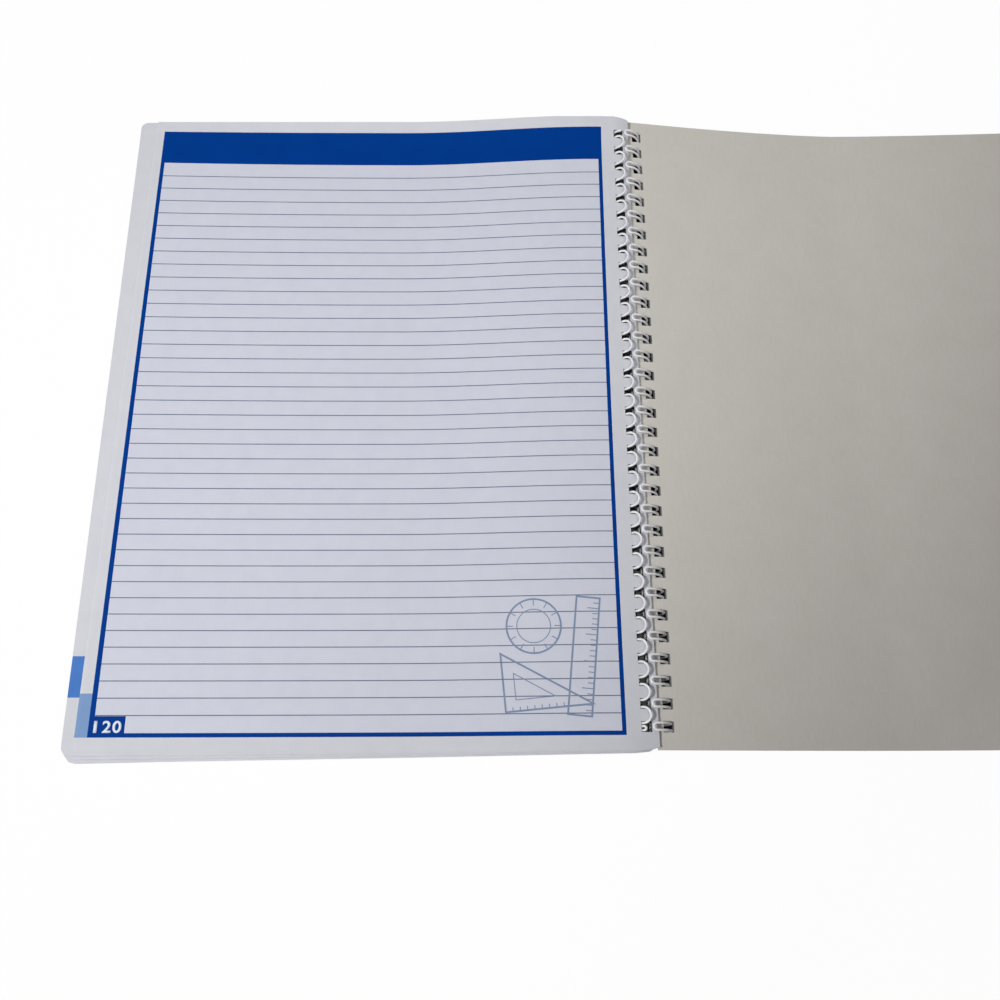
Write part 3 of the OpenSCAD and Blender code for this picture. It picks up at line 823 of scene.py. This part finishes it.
# the far end has crept round the ring, and no two loops lie quite alike
along = mathNode(rollTree, "ADD", mathNode(rollTree, "DIVIDE", flat[1], given["Length"]), 0.5)
crept = mathNode(rollTree, "MULTIPLY", mathNode(rollTree, "POWER", along, 2.0), given["Twist"])
wobble = addNode(rollTree, "ShaderNodeTexNoise", {"noise_dimensions": "1D"}, {
    "W": mathNode(rollTree, "DIVIDE", flat[1], given["Uneven Length"]), "Scale": 1.0, "Detail": 1.0})
wobble = mathNode(rollTree, "MULTIPLY", wobble, given["Uneven"])
angle = mathNode(rollTree, "SUBTRACT", mathNode(rollTree, "DIVIDE", flat[0], given["Ring Radius"]),
                 mathNode(rollTree, "SUBTRACT", crept, wobble))
sideways = mathNode(rollTree, "MULTIPLY", mathNode(rollTree, "COSINE", angle), given["Ring Radius"])
rolled = addNode(rollTree, "ShaderNodeCombineXYZ", inputs={
    0: bowNode(rollTree, sideways, flat[1], given["Length"], given), 1: flat[1],
    2: mathNode(rollTree, "MULTIPLY", mathNode(rollTree, "SINE", angle), given["Ring Radius"])})
bentRound = addNode(rollTree, "GeometryNodeSetPosition", inputs={
    "Geometry": line, "Position": addNode(rollTree, "ShaderNodeVectorMath", {"operation": "ADD"},
                                          {0: rolled, 1: given["Centre"]})})
section = addNode(rollTree, "GeometryNodeCurvePrimitiveCircle", inputs={
    "Resolution": given["Sides"], "Radius": mathNode(rollTree, "MULTIPLY", given["Thickness"], 0.5)})
tube = addNode(rollTree, "GeometryNodeCurveToMesh", inputs={
    "Curve": bentRound, "Profile Curve": section, "Fill Caps": True})
coated = addNode(rollTree, "GeometryNodeSetMaterial", inputs={"Geometry": tube, "Material": given["Coat"]})
rollTree.links.new(coated.outputs[0], out.inputs[0])
twinLoops = growPiece("twinLoopWire", addObject("flatComb", combMesh), rollTree, rollKnown, {
    **roll, "Fingers": form["holes"] - 1, "Sides": wire["sides"],
    "Centre": (form["ringX"] * mm, form["ringY"] * mm, form["ringZ"] * mm), "Coat": wireCoat})
smoothFaces(twinLoops.data, wire["smoothTo"])
placePiece(twinLoops, "book", "binding_wire")
print("stage: wire rolled", len(twinLoops.data.polygons))

# floor, light and camera
studio = {
    "whiteShare": 0.96, "world": 0.07, "cameraAt": (-61.77, -159.47, 383.56), "lens": 35.17,
    "right": (1.0, -0.0044, 0.0101), "forward": (0.011, 0.3042, -0.9527), "sensor": 36.0, "clip": (0.01, 20.0),
    "floorHalf": 4.0, "floorGrey": (0.9, 0.9, 0.9, 1), "shadeGrey": (0.02, 0.02, 0.02, 1),
    "shadeMiddle": 5.0, "shadeHalf": (8.0, 136.9), "shadeFade": 4.0,
    # each lamp: where it is, what it points at, its side in metres and its watts
    "lamps": {"softOverheadLamp": ((-9.0, -4.0, 500.0), (-1120.0, 900.0, 0.0), 0.6, 1.72),
              "leftLamp": ((-900.0, -250.0, 1100.0), (0.0, 0.0, 0.0), 0.2, 13.1)},
}
floorMesh = bpy.data.meshes.new("studioFloor")
half = studio["floorHalf"]
floorMesh.from_pydata([(-half, -half, 0), (half, -half, 0), (half, half, 0), (-half, half, 0)], [], [(0, 1, 2, 3)])
floor = addObject("studioFloor", floorMesh)
floorPaint = bpy.data.materials.new("studioFloorWhite")
floorPaint.use_nodes = True
tree = floorPaint.node_tree
tree.nodes.clear()
# under the rings the floor is painted with a dark strip, a painted shadow, so that the punched holes look as deep as
# they do on a desk
spot = addNode(tree, "ShaderNodeSeparateXYZ", inputs={
    0: addNode(tree, "ShaderNodeTexCoord").outputs["Object"]}).outputs
edges = []
for axis, half in enumerate(studio["shadeHalf"]):
    centred = mathNode(tree, "SUBTRACT", spot[axis], studio["shadeMiddle"] * mm * axis)
    edges.append(addNode(tree, "ShaderNodeMapRange", {"interpolation_type": "SMOOTHSTEP"}, {
        "Value": mathNode(tree, "ABSOLUTE", centred), "From Min": half * mm,
        "From Max": (half + studio["shadeFade"]) * mm}))
openFloor = mathNode(tree, "MAXIMUM", *edges)
paint = addNode(tree, "ShaderNodeMix", {"data_type": "RGBA"}, {
    0: openFloor, 6: studio["shadeGrey"], 7: studio["floorGrey"]}).outputs[2]
matt = addNode(tree, "ShaderNodeBsdfDiffuse", inputs={"Color": paint})
plainWhite = addNode(tree, "ShaderNodeEmission", inputs={"Color": (1, 1, 1, 1), "Strength": 1.0})
path = addNode(tree, "ShaderNodeLightPath").outputs
seen = mathNode(tree, "MAXIMUM", path["Is Camera Ray"],
                mathNode(tree, "MAXIMUM", path["Is Glossy Ray"], path["Is Transmission Ray"]))
share = mathNode(tree, "MULTIPLY", mathNode(tree, "MULTIPLY", seen, studio["whiteShare"]), openFloor)
both = addNode(tree, "ShaderNodeMixShader", inputs={0: share, 1: matt, 2: plainWhite})
addNode(tree, "ShaderNodeOutputMaterial", inputs={"Surface": both})
floorMesh.materials.append(floorPaint)

world = bpy.data.worlds.new("studioWorld")
bpy.context.scene.world = world
world.use_nodes = True
tree = world.node_tree
tree.nodes.clear()
path = addNode(tree, "ShaderNodeLightPath").outputs
seen = mathNode(tree, "MAXIMUM", path["Is Camera Ray"], path["Is Glossy Ray"])
level = addNode(tree, "ShaderNodeMix", {"data_type": "FLOAT"}, {0: seen, 2: studio["world"], 3: 1.0})
sky = addNode(tree, "ShaderNodeBackground", inputs={"Color": (1, 1, 1, 1), "Strength": level})
addNode(tree, "ShaderNodeOutputWorld", inputs={"Surface": sky})

for name, (place, aim, size, power) in studio["lamps"].items():
    lampData = bpy.data.lights.new(name, "AREA")
    lampData.shape, lampData.size, lampData.energy = "SQUARE", size, power
    lamp = addObject(name, lampData)
    lamp.location = Vector(place) * mm
    lamp.rotation_euler = (Vector(aim) - Vector(place)).to_track_quat("-Z", "Y").to_euler()
    lamp.visible_camera = False

cameraData = bpy.data.cameras.new("photoCamera")
cameraData.sensor_width, cameraData.lens = studio["sensor"], studio["lens"]
cameraData.clip_start, cameraData.clip_end = studio["clip"]
camera = addObject("photoCamera", cameraData)
back = -Vector(studio["forward"]).normalized()
right = Vector(studio["right"])
right = (right - back * right.dot(back)).normalized()
up = back.cross(right)
turn = Matrix((right, up, back)).transposed().to_4x4()
camera.matrix_world = Matrix.Translation(Vector(studio["cameraAt"]) * mm) @ turn
bpy.context.scene.camera = camera
bpy.context.scene.view_settings.view_transform = "Standard"
print("stage: studio set")

bpy.context.view_layer.update()
